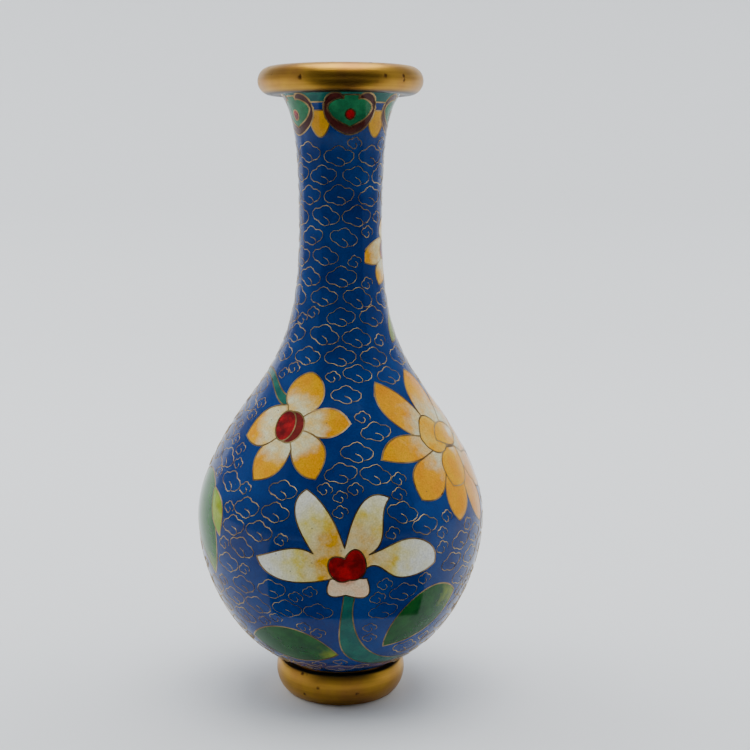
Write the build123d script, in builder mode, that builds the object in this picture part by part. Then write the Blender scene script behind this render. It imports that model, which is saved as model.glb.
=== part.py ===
from build123d import *
from math import cos, radians, sin
import os

os.makedirs("parts", exist_ok=True)

# A cloisonne vase: a copper body in three soldered sections, a gilt brass foot ring and mouth rim,
# and an enamel skin in which every colour lies in its own cell of upright flower wire.
# Millimetres, +Z up. The origin is the middle of the plane that the foot ring stands on.

# Outline of the enamelled skin, as radius and height of its four turning places.
base_radius = 13.0
base_height = 8.2
base_heading = 23.5
base_reach = 17.0
belly_radius = 34.9
belly_height = 44.8
belly_reach = 12.0
shoulder_radius = 20.8
shoulder_height = 75.4
shoulder_heading = 126.0
shoulder_reach_below = 6.0
shoulder_reach_above = 12.0
neck_radius = 9.85
neck_height = 115.5
neck_reach = 22.0
lip_radius = 14.4
lip_height = 146.1
lip_heading = 49.0
lip_reach = 4.2

# Layers of the wall, from the outside in.
enamel_thickness = 0.8
copper_thickness = 0.9
lining_thickness = 0.3
wire_width = 0.3

# Soldered seams of the copper body.
belly_seam_height = 44.0
neck_seam_height = 92.0
seam_lap = 1.6

# Foot ring: a rolled band with a collar that is soldered under the bowl.
foot_contact_radius = 13.5
foot_bulge_radius = 15.9
foot_bulge_height = 4.6
foot_top_radius = 15.3
foot_wall = 1.2
collar_width = 1.2
base_enamel_thickness = 0.5

# Mouth rim: a rolled bead on a short cylindrical collar.
bead_radius = 3.3
bead_overhang = 1.8
bead_rise = 2.7
mouth_radius = 12.2
mouth_depth = 4.0
rim_seat_drop = 0.1

# Lappet band below the mouth rim.
lappet_count = 5
lappet_azimuth = 11.0
lappet_height = 140.0
strip_height = 143.6
dot_radius = 1.15
field_overlap = 1.4

# Where each painted motif sits: azimuth in degrees from the front, positive to the right, and height.
orchid_place = (2.0, 41.0)
left_leaf_place = (-28.0, 16.0)
right_leaf_place = (33.0, 22.0)
blossom_place = (-29.0, 70.5)
chrysanthemum_place = (58.0, 66.0)
side_leaf_place = (-75.0, 48.0)
neck_blossom_place = (80.0, 109.5)
neck_blossom_scale = 0.68
neck_leaf_place = (75.0, 93.0)
back_blossom_place = (-152.0, 66.0)
back_left_leaf_place = (176.0, 24.0)
back_right_leaf_place = (-130.0, 28.0)

inlay_start = 7.0
inlay_reach = 60.0
skin_arcs = 10
smallest_cell = 0.5

with BuildLine() as outline:
    base = Vector(base_radius, base_height)
    belly = Vector(belly_radius, belly_height)
    shoulder = Vector(shoulder_radius, shoulder_height)
    neck = Vector(neck_radius, neck_height)
    lip = Vector(lip_radius, lip_height)
    base_way = Vector(cos(radians(base_heading)), sin(radians(base_heading)))
    shoulder_way = Vector(cos(radians(shoulder_heading)), sin(radians(shoulder_heading)))
    lip_way = Vector(cos(radians(lip_heading)), sin(radians(lip_heading)))
    up = Vector(0, 1)
    Bezier(base, base + base_way * base_reach, belly - up * belly_reach, belly)
    Bezier(belly, belly + up * belly_reach, shoulder - shoulder_way * shoulder_reach_below, shoulder)
    Bezier(shoulder, shoulder + shoulder_way * shoulder_reach_above, neck - up * neck_reach, neck)
    Bezier(neck, neck + up * neck_reach, lip - lip_way * lip_reach, lip)

outline_wire = outline.wires()[0]


def skin_points(depth):
    """Radius and height along the outline, moved inwards, square to the skin, by a depth."""
    points = []
    for index in range(2 * skin_arcs + 1):
        share = index / (2 * skin_arcs)
        place = outline_wire.position_at(share)
        way = outline_wire.tangent_at(share)
        points.append((place.X - depth * way.Y, place.Y + depth * way.X))
    return points


def skin_curve(depth):
    """The outline at a depth under the skin, as a chain of arcs."""
    points = skin_points(depth)
    with BuildLine() as curve:
        for start in range(0, 2 * skin_arcs, 2):
            ThreePointArc(*points[start : start + 3])
    return curve.line


def radius_at(height, depth):
    """Radius of the layer at a depth under the skin, where it crosses a height."""
    level = Edge.make_line((0, height), (inlay_reach, height))
    for arc in skin_curve(depth).edges():
        crossing = arc.intersect(level)
        if crossing:
            return crossing[0].X


def wall_layer(outer_depth, inner_depth, floor=False):
    """A turned layer of the wall between two depths, with a flat floor if it has one."""
    outside = skin_points(outer_depth)
    inside = skin_points(inner_depth)
    with BuildPart() as layer:
        with BuildSketch(Plane.XZ):
            with BuildLine():
                add(skin_curve(outer_depth))
                Line(outside[-1], inside[-1])
                add(skin_curve(inner_depth))
                if floor:
                    Polyline(inside[0], (0, inside[0][1]), (0, outside[0][1]), outside[0])
                else:
                    Line(inside[0], outside[0])
            make_face()
        revolve(axis=Axis.Z)
        split(bisect_by=Plane.XY.offset(rim_seat_height), keep=Keep.BOTTOM)
    return layer.part


def save(builder, name):
    """Labels a finished piece and writes it."""
    builder.part.label = name
    export_step(builder.part, f"parts/{name}.step")


rim_seat_height = lip_height - rim_seat_drop
copper_depth = enamel_thickness
lining_depth = enamel_thickness + copper_thickness
inner_depth = lining_depth + lining_thickness
floor_bottom = skin_points(copper_depth)[0]
floor_top = skin_points(lining_depth)[0]

copper_shell = wall_layer(copper_depth, lining_depth, floor=True)
enamel_shell = wall_layer(0, copper_depth)

# Copper body: bowl, shoulder and neck, joined by stepped lap seams.


def below_seam(seam_height):
    """Everything under a stepped seam, whose step is half the wall wide and one lap high."""
    step_radius = radius_at(seam_height, copper_depth + copper_thickness / 2)
    with BuildPart() as region:
        with BuildSketch(Plane.XZ):
            with BuildLine():
                Polyline(
                    (0, 0),
                    (inlay_reach, 0),
                    (inlay_reach, seam_height),
                    (step_radius, seam_height),
                    (step_radius, seam_height + seam_lap),
                    (0, seam_height + seam_lap),
                    close=True,
                )
            make_face()
        revolve(axis=Axis.Z)
    return region.part


below_belly_seam = below_seam(belly_seam_height)
below_neck_seam = below_seam(neck_seam_height)

with BuildPart() as lower_bowl:
    add(copper_shell)
    add(below_belly_seam, mode=Mode.INTERSECT)
save(lower_bowl, "lower_bowl")

with BuildPart() as shoulder_dome:
    add(copper_shell)
    add(below_neck_seam, mode=Mode.INTERSECT)
    add(below_belly_seam, mode=Mode.SUBTRACT)
save(shoulder_dome, "shoulder_dome")

with BuildPart() as neck_tube:
    add(copper_shell)
    add(below_neck_seam, mode=Mode.SUBTRACT)
save(neck_tube, "neck_tube")

# Counter-enamel inside the copper, from the floor's edge to the mouth.
with BuildPart() as lining_enamel:
    add(wall_layer(lining_depth, inner_depth, floor=True))
save(lining_enamel, "lining_enamel")

# Foot ring: a band rolled out to its bulge, closed on top by a flange and a collar under the bowl.
collar_outer_radius = floor_bottom[0]
collar_inner_radius = collar_outer_radius - collar_width
foot_top_height = base_height
flange_underside = foot_top_height - foot_wall
with BuildPart() as foot_ring:
    with BuildSketch(Plane.XZ):
        with BuildLine():
            ThreePointArc(
                (foot_contact_radius, 0),
                (foot_bulge_radius, foot_bulge_height),
                (foot_top_radius, foot_top_height),
            )
            Polyline(
                (foot_top_radius, foot_top_height),
                (collar_outer_radius, foot_top_height),
                floor_bottom,
                (collar_inner_radius, floor_bottom[1]),
                (collar_inner_radius, flange_underside),
                (foot_top_radius - foot_wall, flange_underside),
            )
            ThreePointArc(
                (foot_top_radius - foot_wall, flange_underside),
                (foot_bulge_radius - foot_wall, foot_bulge_height),
                (foot_contact_radius - foot_wall, 0),
            )
            Line((foot_contact_radius - foot_wall, 0), (foot_contact_radius, 0))
        make_face()
    revolve(axis=Axis.Z)
save(foot_ring, "foot_ring")

# Enamel disc under the bowl, inside the collar.
with BuildPart() as base_enamel:
    with BuildSketch(Plane.XY.offset(floor_bottom[1] - base_enamel_thickness)):
        Circle(collar_inner_radius)
    extrude(amount=base_enamel_thickness)
save(base_enamel, "base_enamel")

# Mouth rim: the bead overhangs the lip, and the collar stands on the ends of the wall's layers.
bead_centre_radius = lip_radius + bead_overhang
bead_centre_height = rim_seat_height + bead_rise
with BuildPart() as mouth_rim:
    with BuildSketch(Plane.XZ):
        with Locations((bead_centre_radius, bead_centre_height)):
            Circle(bead_radius)
        with Locations((mouth_radius, rim_seat_height)):
            Rectangle(lip_radius - mouth_radius, mouth_depth, align=Align.MIN)
    revolve(axis=Axis.Z)
save(mouth_rim, "mouth_rim")


# Flower wire and enamel cells. Each motif is drawn flat, seen from outside, and laid on the skin
# along the radius through its own place.


def motif_plane(place):
    """Upright plane inside the wall, facing outwards at an azimuth, with its origin at a height."""
    azimuth, height = place
    turn = radians(azimuth)
    return Plane(
        origin=(inlay_start * sin(turn), -inlay_start * cos(turn), height),
        x_dir=(cos(turn), sin(turn), 0),
        z_dir=(sin(turn), -cos(turn), 0),
    )


def drawn(*runs):
    """A closed shape of curves that meet at cusps: each run is a list of points."""
    with BuildSketch() as shape:
        with BuildLine():
            for run in runs:
                if len(run) == 2:
                    Line(*run)
                else:
                    Spline(*run)
        make_face()
    return shape.sketch


def grown(shape, amount):
    """The shape with its edge moved outwards, or inwards if the amount is negative, as splines."""
    with BuildSketch() as result:
        add(shape)
        offset(amount=amount, mode=Mode.REPLACE)
    return Sketch(result.sketch.to_splines().wrapped)


def footprint_of(shapes):
    """The area that a motif takes from the ground: its shapes and the wire around them, joined from
    the topmost shape down."""
    with BuildSketch() as result:
        for shape in reversed(shapes):
            add(grown(shape, wire_width / 2))
    return result.sketch


def cells_of(shapes):
    """The enamel cell inside each shape. Later shapes lie over earlier ones."""
    cells = []
    for index, shape in enumerate(shapes):
        with BuildSketch() as cell:
            add(grown(shape, -wire_width / 2))
            for cover in shapes[index + 1 :]:
                add(grown(cover, wire_width / 2), mode=Mode.SUBTRACT)
        with BuildSketch() as kept:
            add(cell.sketch.faces().filter_by(lambda face: face.area > smallest_cell))
        cells.append(kept.sketch)
    return cells


def wires_of(shapes):
    """The flower wire of a motif: its footprint without its cells."""
    with BuildSketch() as result:
        add(footprint_of(shapes))
        for cell in cells_of(shapes):
            add(cell, mode=Mode.SUBTRACT)
    return result.sketch


def column(plane, *sketches):
    """Flat shapes carried outwards from the axis, past the skin."""
    with BuildPart() as prism:
        with BuildSketch(plane):
            for sketch in sketches:
                add(sketch)
        extrude(amount=inlay_reach)
    return prism.part


def inlay(plane, *sketches):
    """The part of the enamel layer that lies under flat shapes."""
    with BuildPart() as piece:
        add(column(plane, *sketches))
        add(enamel_shell, mode=Mode.INTERSECT)
    return piece.part


footprints = []


def petal(centre, *runs):
    """A petal whose outer edge is given, closed by two straight sides to the flower's centre."""
    first = runs[0][0]
    last = runs[-1][-1]
    return drawn([centre, first], *runs, [last, centre])


def scaled_runs(runs, scale):
    """Runs of points made larger or smaller about a motif's own place."""
    return [[(across * scale, along * scale) for across, along in run] for run in runs]


def mirrored(run):
    """A run of points turned over left to right and drawn backwards."""
    return [(-across, along) for across, along in reversed(run)]


def oval(centre, half_width, half_height):
    """An ellipse, made of two halves, with its centre at a point of the motif."""
    with BuildSketch() as shape:
        with BuildLine():
            EllipticalCenterArc(centre, half_width, half_height, start_angle=0, arc_size=180)
            EllipticalCenterArc(centre, half_width, half_height, start_angle=180, arc_size=180)
        make_face()
    return shape.sketch


def place_motif(place, groups, wires_name):
    """Writes a motif: one node for each named group of shapes, and one for its wires."""
    plane = motif_plane(place)
    shapes = [shape for group in groups for shape in group[1]]
    cells = cells_of(shapes)
    start = 0
    for name, members in groups:
        stop = start + len(members)
        with BuildPart() as cell_piece:
            add(inlay(plane, *cells[start:stop]))
        save(cell_piece, name)
        start = stop
    with BuildPart() as wire_piece:
        add(inlay(plane, wires_of(shapes)))
    save(wire_piece, wires_name)
    footprints.append(column(plane, footprint_of(shapes)))


# Blossom: five nibbed petals around an oval heart, with a crescent at its side and a stem.
def blossom_petals(scale=1.0):
    """Five petals, each from one cleft over its nib to the next cleft."""
    top = [[(-2, 4.2), (-3.3, 7), (-2, 9.6), (1.7, 11.4)], [(1.7, 11.4), (5.3, 8.6), (6, 6), (3.8, 2.8)]]
    right = [[(3.8, 2.8), (8.5, 4), (13.4, 0.9)], [(13.4, 0.9), (11.2, -1.5), (8, -1.9), (5, -0.9)]]
    low_right = [[(5, -0.9), (10.3, -5), (9.7, -10.4)], [(9.7, -10.4), (6, -9.4), (3.3, -6.8), (2.3, -4.6)]]
    low_left = [[(2.3, -4.6), (1.4, -8.2), (-5.6, -11.9)], [(-5.6, -11.9), (-6.5, -6.5), (-2.3, -2.7)]]
    left = [[(-2.3, -2.7), (-6.5, -4.8), (-11.8, -3.4)], [(-11.8, -3.4), (-8.8, 1.8), (-2, 4.2)]]
    edges = [top, right, low_right, low_left, left]
    return [petal((0, 0), *scaled_runs(edge, scale)) for edge in edges]


blossom_crescent = oval((0.6, -0.2), 3.2, 3.2)
blossom_heart = oval((-0.9, 0), 2.5, 3.1)
blossom_stem = drawn(
    [(-1, 4), (-6.5, 5.8), (-9.5, 8.2), (-15, 9.3)],
    [(-15, 9.3), (-14.5, 10.6)],
    [(-14.5, 10.6), (-9, 9.8), (-6, 7.6), (-1, 6)],
    [(-1, 6), (-1, 4)],
)
place_motif(
    blossom_place,
    [
        ("blossom_stem", [blossom_stem]),
        ("blossom_petals", blossom_petals()),
        ("blossom_crescent", [blossom_crescent]),
        ("blossom_heart", [blossom_heart]),
    ],
    "blossom_wires",
)

# Orchid: four broad petals that run together around a dark heart, with a lobed lip and a root.
orchid_petals = drawn(
    [(-3, -2.6), (-11, -3.9), (-17.4, -2.4), (-19.9, 1.2)],
    [(-19.9, 1.2), (-16.8, 2.5), (-12, 4.1), (-7.3, 3.2)],
    [(-7.3, 3.2), (-10.3, 8.5), (-11.2, 13.5), (-8.6, 17)],
    [(-8.6, 17), (-4.6, 13.4), (-2, 9), (-0.3, 4.6)],
    [(-0.3, 4.6), (1.7, 11), (5, 15.3), (9.9, 15)],
    [(9.9, 15), (8.4, 11.5), (8.2, 7.5), (5.2, 3)],
    [(5.2, 3), (9, 4.4), (14.5, 5.8), (19, 4), (20.4, -0.8)],
    [(20.4, -0.8), (15, -3.1), (11, -2.6), (7, 0.2), (3, -2.2)],
    [(3, -2.2), (-3, -2.6)],
)
orchid_lip = drawn(
    [(-3.5, -2.6), (-3.8, -6.6), (0, -6.6)],
    [(0, -6.6), (5, -6.8), (4.7, -2.6)],
    [(4.7, -2.6), (-3.5, -2.6)],
)
orchid_heart = drawn(
    [(-0.3, 2.2), (2.8, 4.1), (4.5, 1), (0.8, -2.9)],
    [(0.8, -2.9), (-3.6, -1.3), (-3.8, 1.6), (-0.3, 2.2)],
)
orchid_root = drawn(
    [(-0.4, -6), (-1.1, -13), (0.4, -24), (7, -28), (14.9, -27)],
    [(14.9, -27), (6.5, -23.6), (2.7, -17.5), (2.4, -6)],
    [(2.4, -6), (-0.4, -6)],
)
place_motif(
    orchid_place,
    [
        ("orchid_root", [orchid_root]),
        ("orchid_petals", [orchid_petals]),
        ("orchid_lip", [orchid_lip]),
        ("orchid_heart", [orchid_heart]),
    ],
    "orchid_wires",
)

# Two low leaves beside the root.
left_leaf = drawn(
    [(-10.2, 3.2), (-5, 7.2), (3, 8.5), (11.2, 1.2)],
    [(11.2, 1.2), (3.5, -1.7), (-2, -1.6), (-10.2, 3.2)],
)
right_leaf = drawn(
    [(-5.2, -2.8), (-5.3, 4.2), (0.4, 11.1), (12, 9.2)],
    [(12, 9.2), (8.5, 2.5), (1.5, -1.5), (-5.2, -2.8)],
)
place_motif(left_leaf_place, [("left_leaf", [left_leaf])], "left_leaf_wires")
place_motif(right_leaf_place, [("right_leaf", [right_leaf])], "right_leaf_wires")

# Chrysanthemum: pointed petals in two ranks around a core of two lobes.
chrysanthemum_centre = (2, 0)
outer_petals = [
    [[(10, -0.6), (16, 2.4), (20.5, -2)], [(20.5, -2), (15.5, -4.6), (9, -4.5)]],
    [[(9, -4.5), (15.5, -6.5), (18, -12)], [(18, -12), (12.5, -13.2), (7.5, -9.5)]],
    [[(7.5, -9.5), (10.8, -14), (9.1, -20.6)], [(9.1, -20.6), (4.4, -17), (2.8, -10.2)]],
    [[(2.8, -10.2), (1.6, -14.5), (-3.1, -17.8)], [(-3.1, -17.8), (-6, -13), (-4.7, -8.6)]],
    [[(-4.7, -8.6), (-8.8, -11.6), (-13.4, -11.3)], [(-13.4, -11.3), (-13.2, -6), (-8.6, -2.9)]],
    [[(-8.6, -2.9), (-13.5, -3.2), (-18, -2.2)], [(-18, -2.2), (-14, 1.6), (-7.6, 1.9)]],
    [[(6.3, 6.3), (11, 11), (16.5, 13.5)], [(16.5, 13.5), (15.5, 7), (10, -0.6)]],
    [[(-2.2, 5.6), (-2, 11), (1.5, 15.5)], [(1.5, 15.5), (7, 10), (6.3, 6.3)]],
    [[(-7.6, 1.9), (-11.6, 6.5), (-9.3, 13.7)], [(-9.3, 13.7), (-4.5, 9.8), (-2.2, 5.6)]],
]
inner_petal = drawn(
    [(1, -1.9), (-3.4, -5), (-2.3, -10)],
    [(-2.3, -10), (4.6, -9.2), (5.9, -2.5)],
    [(5.9, -2.5), (1, -1.9)],
)
core_lobe = drawn(
    [(1.8, 3.6), (-1.5, 5.5), (-6.3, 1.2)],
    [(-6.3, 1.2), (-3.2, -2.4), (1, -2), (1.8, 3.6)],
)
core_eye = drawn(
    [(-1.4, 0), (0.5, 2.6), (5, 3.2), (9.5, 0.2)],
    [(9.5, 0.2), (6, -2), (1.6, -1.2), (-1.4, 0)],
)
place_motif(
    chrysanthemum_place,
    [
        ("chrysanthemum_outer_petals", [petal(chrysanthemum_centre, *edge) for edge in outer_petals]),
        ("chrysanthemum_inner_petal", [inner_petal]),
        ("chrysanthemum_core", [core_lobe]),
        ("chrysanthemum_eye", [core_eye]),
    ],
    "chrysanthemum_wires",
)

# Side leaf in two tones.
side_leaf_back = drawn(
    [(-5, 8.5), (4, 8.8), (9.5, 3), (7.6, -14)],
    [(7.6, -14), (1, -8.2), (-6, -2), (-5, 8.5)],
)
side_leaf_front = drawn(
    [(6.5, 6.8), (12.6, 3), (12.9, -3.4)],
    [(12.9, -3.4), (9.6, -0.2), (6.5, 6.8)],
)
place_motif(
    side_leaf_place,
    [("side_leaf_back", [side_leaf_back]), ("side_leaf_front", [side_leaf_front])],
    "side_leaf_wires",
)

# Neck: a smaller blossom and a leaf under it.
place_motif(
    neck_blossom_place,
    [
        ("neck_blossom_petals", blossom_petals(neck_blossom_scale)),
        ("neck_blossom_heart", [oval((0, 0), 2, 2.2)]),
    ],
    "neck_blossom_wires",
)
neck_leaf = drawn(
    [(5, 2.5), (-1.5, -0.6), (-2.8, -5.2)],
    [(-2.8, -5.2), (2, -3.6), (5, 2.5)],
)
place_motif(neck_leaf_place, [("neck_leaf", [neck_leaf])], "neck_leaf_wires")

# Back: the blossom again, over a pair of leaves.
place_motif(
    back_blossom_place,
    [
        ("back_blossom_petals", blossom_petals()),
        ("back_blossom_crescent", [blossom_crescent]),
        ("back_blossom_heart", [blossom_heart]),
    ],
    "back_blossom_wires",
)
place_motif(back_left_leaf_place, [("back_left_leaf", [left_leaf])], "back_left_leaf_wires")
place_motif(back_right_leaf_place, [("back_right_leaf", [right_leaf])], "back_right_leaf_wires")

# Lappet band: scrolled lappets that hang from a strip under the rim, with drops between them.
scroll_outer = [(0, -3.9), (4.1, -1.8), (6.1, 2.6), (5.1, 5.1), (2.3, 5), (1.8, 4.1)]
scroll_inner = [(1.8, 4.1), (3.7, 3.9), (5.1, 2.6), (4.1, 0.3), (2.3, -1), (0, -2.1)]
field_top = strip_height - lappet_height + field_overlap
scroll = drawn(scroll_outer, scroll_inner, mirrored(scroll_inner), mirrored(scroll_outer))
field = drawn(
    scroll_inner,
    mirrored(scroll_inner),
    [(-1.8, 4.1), (-1.8, field_top)],
    [(-1.8, field_top), (1.8, field_top)],
    [(1.8, field_top), (1.8, 4.1)],
)
drop = drawn(
    [(-2, 1.6), (-1.9, -2.6), (0, -4.4), (1.9, -2.6), (2, 1.6)],
    [(2, 1.6), (-2, 1.6)],
)
dot = oval((0, 0.7), dot_radius, dot_radius)
lappet_shapes = [field, scroll, dot]
lappet_cells = cells_of(lappet_shapes)
lappet_pitch = 360 / lappet_count
lappet_azimuths = [lappet_azimuth + lappet_pitch * index for index in range(lappet_count)]
lappet_planes = [motif_plane((azimuth, lappet_height)) for azimuth in lappet_azimuths]
drop_planes = [motif_plane((azimuth + lappet_pitch / 2, lappet_height)) for azimuth in lappet_azimuths]
lappet_columns = [column(plane, footprint_of(lappet_shapes)) for plane in lappet_planes]
drop_columns = [column(plane, footprint_of([drop])) for plane in drop_planes]

for name, cell in zip(["band_fields", "band_scrolls", "band_dots"], lappet_cells):
    with BuildPart() as lappet_piece:
        for plane in lappet_planes:
            add(inlay(plane, cell))
    save(lappet_piece, name)

# The drops and their wire pass under the lappets.
for name, sketch in [("band_drops", cells_of([drop])[0]), ("drop_wires", wires_of([drop]))]:
    with BuildPart() as drop_piece:
        for plane in drop_planes:
            add(inlay(plane, sketch))
        for lappet_column in lappet_columns:
            add(lappet_column, mode=Mode.SUBTRACT)
    save(drop_piece, name)

with BuildPart() as strip_zone:
    with BuildSketch(Plane.XY.offset(strip_height)):
        Circle(inlay_reach)
    extrude(amount=lip_height - strip_height)
with BuildPart() as strip_wire_zone:
    with BuildSketch(Plane.XY.offset(strip_height - wire_width)):
        Circle(inlay_reach)
    extrude(amount=wire_width)

with BuildPart() as band_strip:
    add(enamel_shell)
    add(strip_zone, mode=Mode.INTERSECT)
    for lappet_column in lappet_columns:
        add(lappet_column, mode=Mode.SUBTRACT)
save(band_strip, "band_strip")

with BuildPart() as band_wires:
    add(enamel_shell)
    add(strip_wire_zone, mode=Mode.INTERSECT)
    for lappet_column in lappet_columns:
        add(lappet_column, mode=Mode.SUBTRACT)
    for plane in lappet_planes:
        add(inlay(plane, wires_of(lappet_shapes)))
save(band_wires, "band_wires")

# Ground enamel: the skin without every motif and without the band.
with BuildPart() as ground_enamel:
    add(enamel_shell)
    add(strip_zone, mode=Mode.SUBTRACT)
    add(strip_wire_zone, mode=Mode.SUBTRACT)
    for footprint in footprints + lappet_columns + drop_columns:
        add(footprint, mode=Mode.SUBTRACT)
save(ground_enamel, "ground_enamel")
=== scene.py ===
import math
import random

import bmesh
import bpy
import numpy as np
from mathutils import Matrix, Vector
from mathutils.bvhtree import BVHTree


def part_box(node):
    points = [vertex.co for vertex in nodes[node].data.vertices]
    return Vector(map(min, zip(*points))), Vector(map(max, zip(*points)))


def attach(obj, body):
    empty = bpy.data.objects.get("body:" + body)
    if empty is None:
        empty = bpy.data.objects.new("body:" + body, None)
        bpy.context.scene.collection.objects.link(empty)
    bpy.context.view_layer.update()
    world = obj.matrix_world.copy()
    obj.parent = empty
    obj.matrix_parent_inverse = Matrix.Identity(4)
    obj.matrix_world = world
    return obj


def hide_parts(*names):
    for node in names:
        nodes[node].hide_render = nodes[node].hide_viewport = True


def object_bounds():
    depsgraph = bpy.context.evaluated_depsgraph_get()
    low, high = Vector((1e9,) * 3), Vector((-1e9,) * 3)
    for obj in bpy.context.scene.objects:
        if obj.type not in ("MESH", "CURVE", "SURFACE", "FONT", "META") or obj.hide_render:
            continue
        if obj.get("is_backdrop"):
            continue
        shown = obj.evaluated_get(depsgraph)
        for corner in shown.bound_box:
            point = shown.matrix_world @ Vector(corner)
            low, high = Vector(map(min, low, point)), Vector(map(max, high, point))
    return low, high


# Studio: a camera a little above the shoulder, a pale sweep that the vase stands on, two soft boxes at
# the sides and one overhead, a dark card in front that only the gloss mirrors, and a larger flag
# further out that only holds back the air's light, so that the front of the vase is the darkest.
camera_data = bpy.data.cameras.new("studio_camera")
camera_data.sensor_width = 36
camera_data.lens = 64.18
camera_data.shift_x = 0.046
camera_data.clip_start = 0.01
camera = bpy.data.objects.new("studio_camera", camera_data)
camera.location = (0, -0.3208, 0.1297)
camera_pitch = 9.0
camera.rotation_euler = (math.radians(90 - camera_pitch), 0, 0)
bpy.context.collection.objects.link(camera)
bpy.context.scene.camera = camera

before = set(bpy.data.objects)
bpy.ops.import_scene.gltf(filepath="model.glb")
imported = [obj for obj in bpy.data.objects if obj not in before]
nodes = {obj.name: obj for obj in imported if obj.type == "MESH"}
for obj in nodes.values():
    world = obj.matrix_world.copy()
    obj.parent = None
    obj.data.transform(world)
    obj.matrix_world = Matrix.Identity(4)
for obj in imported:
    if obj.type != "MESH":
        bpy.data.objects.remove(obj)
cad_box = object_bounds()


def mesh_object(name, vertices, faces, materials=()):
    """A mesh object at the origin, with its materials."""
    mesh = bpy.data.meshes.new(name)
    mesh.from_pydata([tuple(v) for v in vertices], [], [tuple(f) for f in faces])
    for material in materials:
        mesh.materials.append(material)
    piece = bpy.data.objects.new(name, mesh)
    bpy.context.collection.objects.link(piece)
    return piece


def new_material(name, roughness=0.5, metallic=0.0):
    """A material with its shader, whose plain values are set on the shader's own sockets."""
    material = bpy.data.materials.new(name)
    material.use_nodes = True
    shader = material.node_tree.nodes["Principled BSDF"]
    shader.inputs["Roughness"].default_value = roughness
    shader.inputs["Metallic"].default_value = metallic
    return material, material.node_tree, shader


paper, _, paper_shader = new_material("sweep_paper", roughness=0.85)
paper_shader.inputs["Base Color"].default_value = (0.74, 0.76, 0.78, 1)
sweep_profile = [
    (-2.2, 0), (0.34, 0), (0.5, 0.025), (0.62, 0.1), (0.68, 0.24), (0.7, 0.5), (0.7, 1.6),
]
sweep_half_width = 2.2
sweep_points = [(side * sweep_half_width, y, z) for y, z in sweep_profile for side in (-1, 1)]
sweep_faces = [(2 * i, 2 * i + 1, 2 * i + 3, 2 * i + 2) for i in range(len(sweep_profile) - 1)]
sweep = mesh_object("sweep", sweep_points, sweep_faces, [paper])
for face in sweep.data.polygons:
    face.use_smooth = True
sweep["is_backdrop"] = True

black, _, black_shader = new_material("card_black", roughness=1.0)
black_shader.inputs["Base Color"].default_value = (0.004, 0.005, 0.008, 1)
card_distance = 0.5
card_from, card_to, card_panels = -52, 62, 12
card_bottom, card_top = 0.05, 0.9
floor_card_start = 0.045
floor_card_height = 0.0006
card_angles = [
    math.radians(card_from + (card_to - card_from) * i / card_panels) for i in range(card_panels + 1)
]
card_points = []
for angle in card_angles:
    for z in (card_bottom, card_top):
        card_points.append((card_distance * math.sin(angle), -card_distance * math.cos(angle), z))
upright_faces = [(2 * i, 2 * i + 1, 2 * i + 3, 2 * i + 2) for i in range(card_panels)]
upright_points = list(card_points)
for angle in card_angles:
    for reach in (floor_card_start, card_distance):
        card_points.append((reach * math.sin(angle), -reach * math.cos(angle), floor_card_height))
floor_faces = [tuple(len(upright_points) + corner for corner in face) for face in upright_faces]
card = mesh_object("card", card_points, upright_faces + floor_faces, [black])
card.visible_camera = False
card.visible_shadow = False
card.visible_diffuse = False
card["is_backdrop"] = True

flag_reach, flag_rise = 1.5, 1.6
flag_points = [(flag_reach * x, flag_reach * y, flag_rise * z) for x, y, z in upright_points]
flag = mesh_object("flag", flag_points, upright_faces, [black])
flag.visible_camera = False
flag.visible_shadow = False
flag.visible_glossy = False
flag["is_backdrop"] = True

world = bpy.data.worlds.new("studio_air")
world.use_nodes = True
air = world.node_tree.nodes["Background"]
air.inputs["Color"].default_value = (0.82, 0.87, 0.93, 1)
air.inputs["Strength"].default_value = 0.68
bpy.context.scene.world = world
middle = Vector((0, 0, 0.07))


def soft_box(name, place, size, watts, mirrored=True):
    """A rectangular area lamp that faces the middle of the vase. Where it isn't mirrored, it lights
    the vase but shows no gloss on it."""
    data = bpy.data.lights.new(name, "AREA")
    data.shape = "RECTANGLE"
    data.size, data.size_y = size
    data.energy = watts
    lamp = bpy.data.objects.new(name, data)
    lamp.location = place
    lamp.rotation_euler = (middle - Vector(place)).to_track_quat("-Z", "Y").to_euler()
    lamp.visible_glossy = mirrored
    bpy.context.collection.objects.link(lamp)


soft_box("left_box", (-0.8, 0.3, 0.5), (0.8, 0.9), 7.0, mirrored=False)
soft_box("right_box", (0.8, 0.35, 0.5), (0.8, 0.9), 5.0, mirrored=False)
soft_box("top_box", (0.05, 0.0, 1.0), (0.9, 0.8), 11.0)

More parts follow.
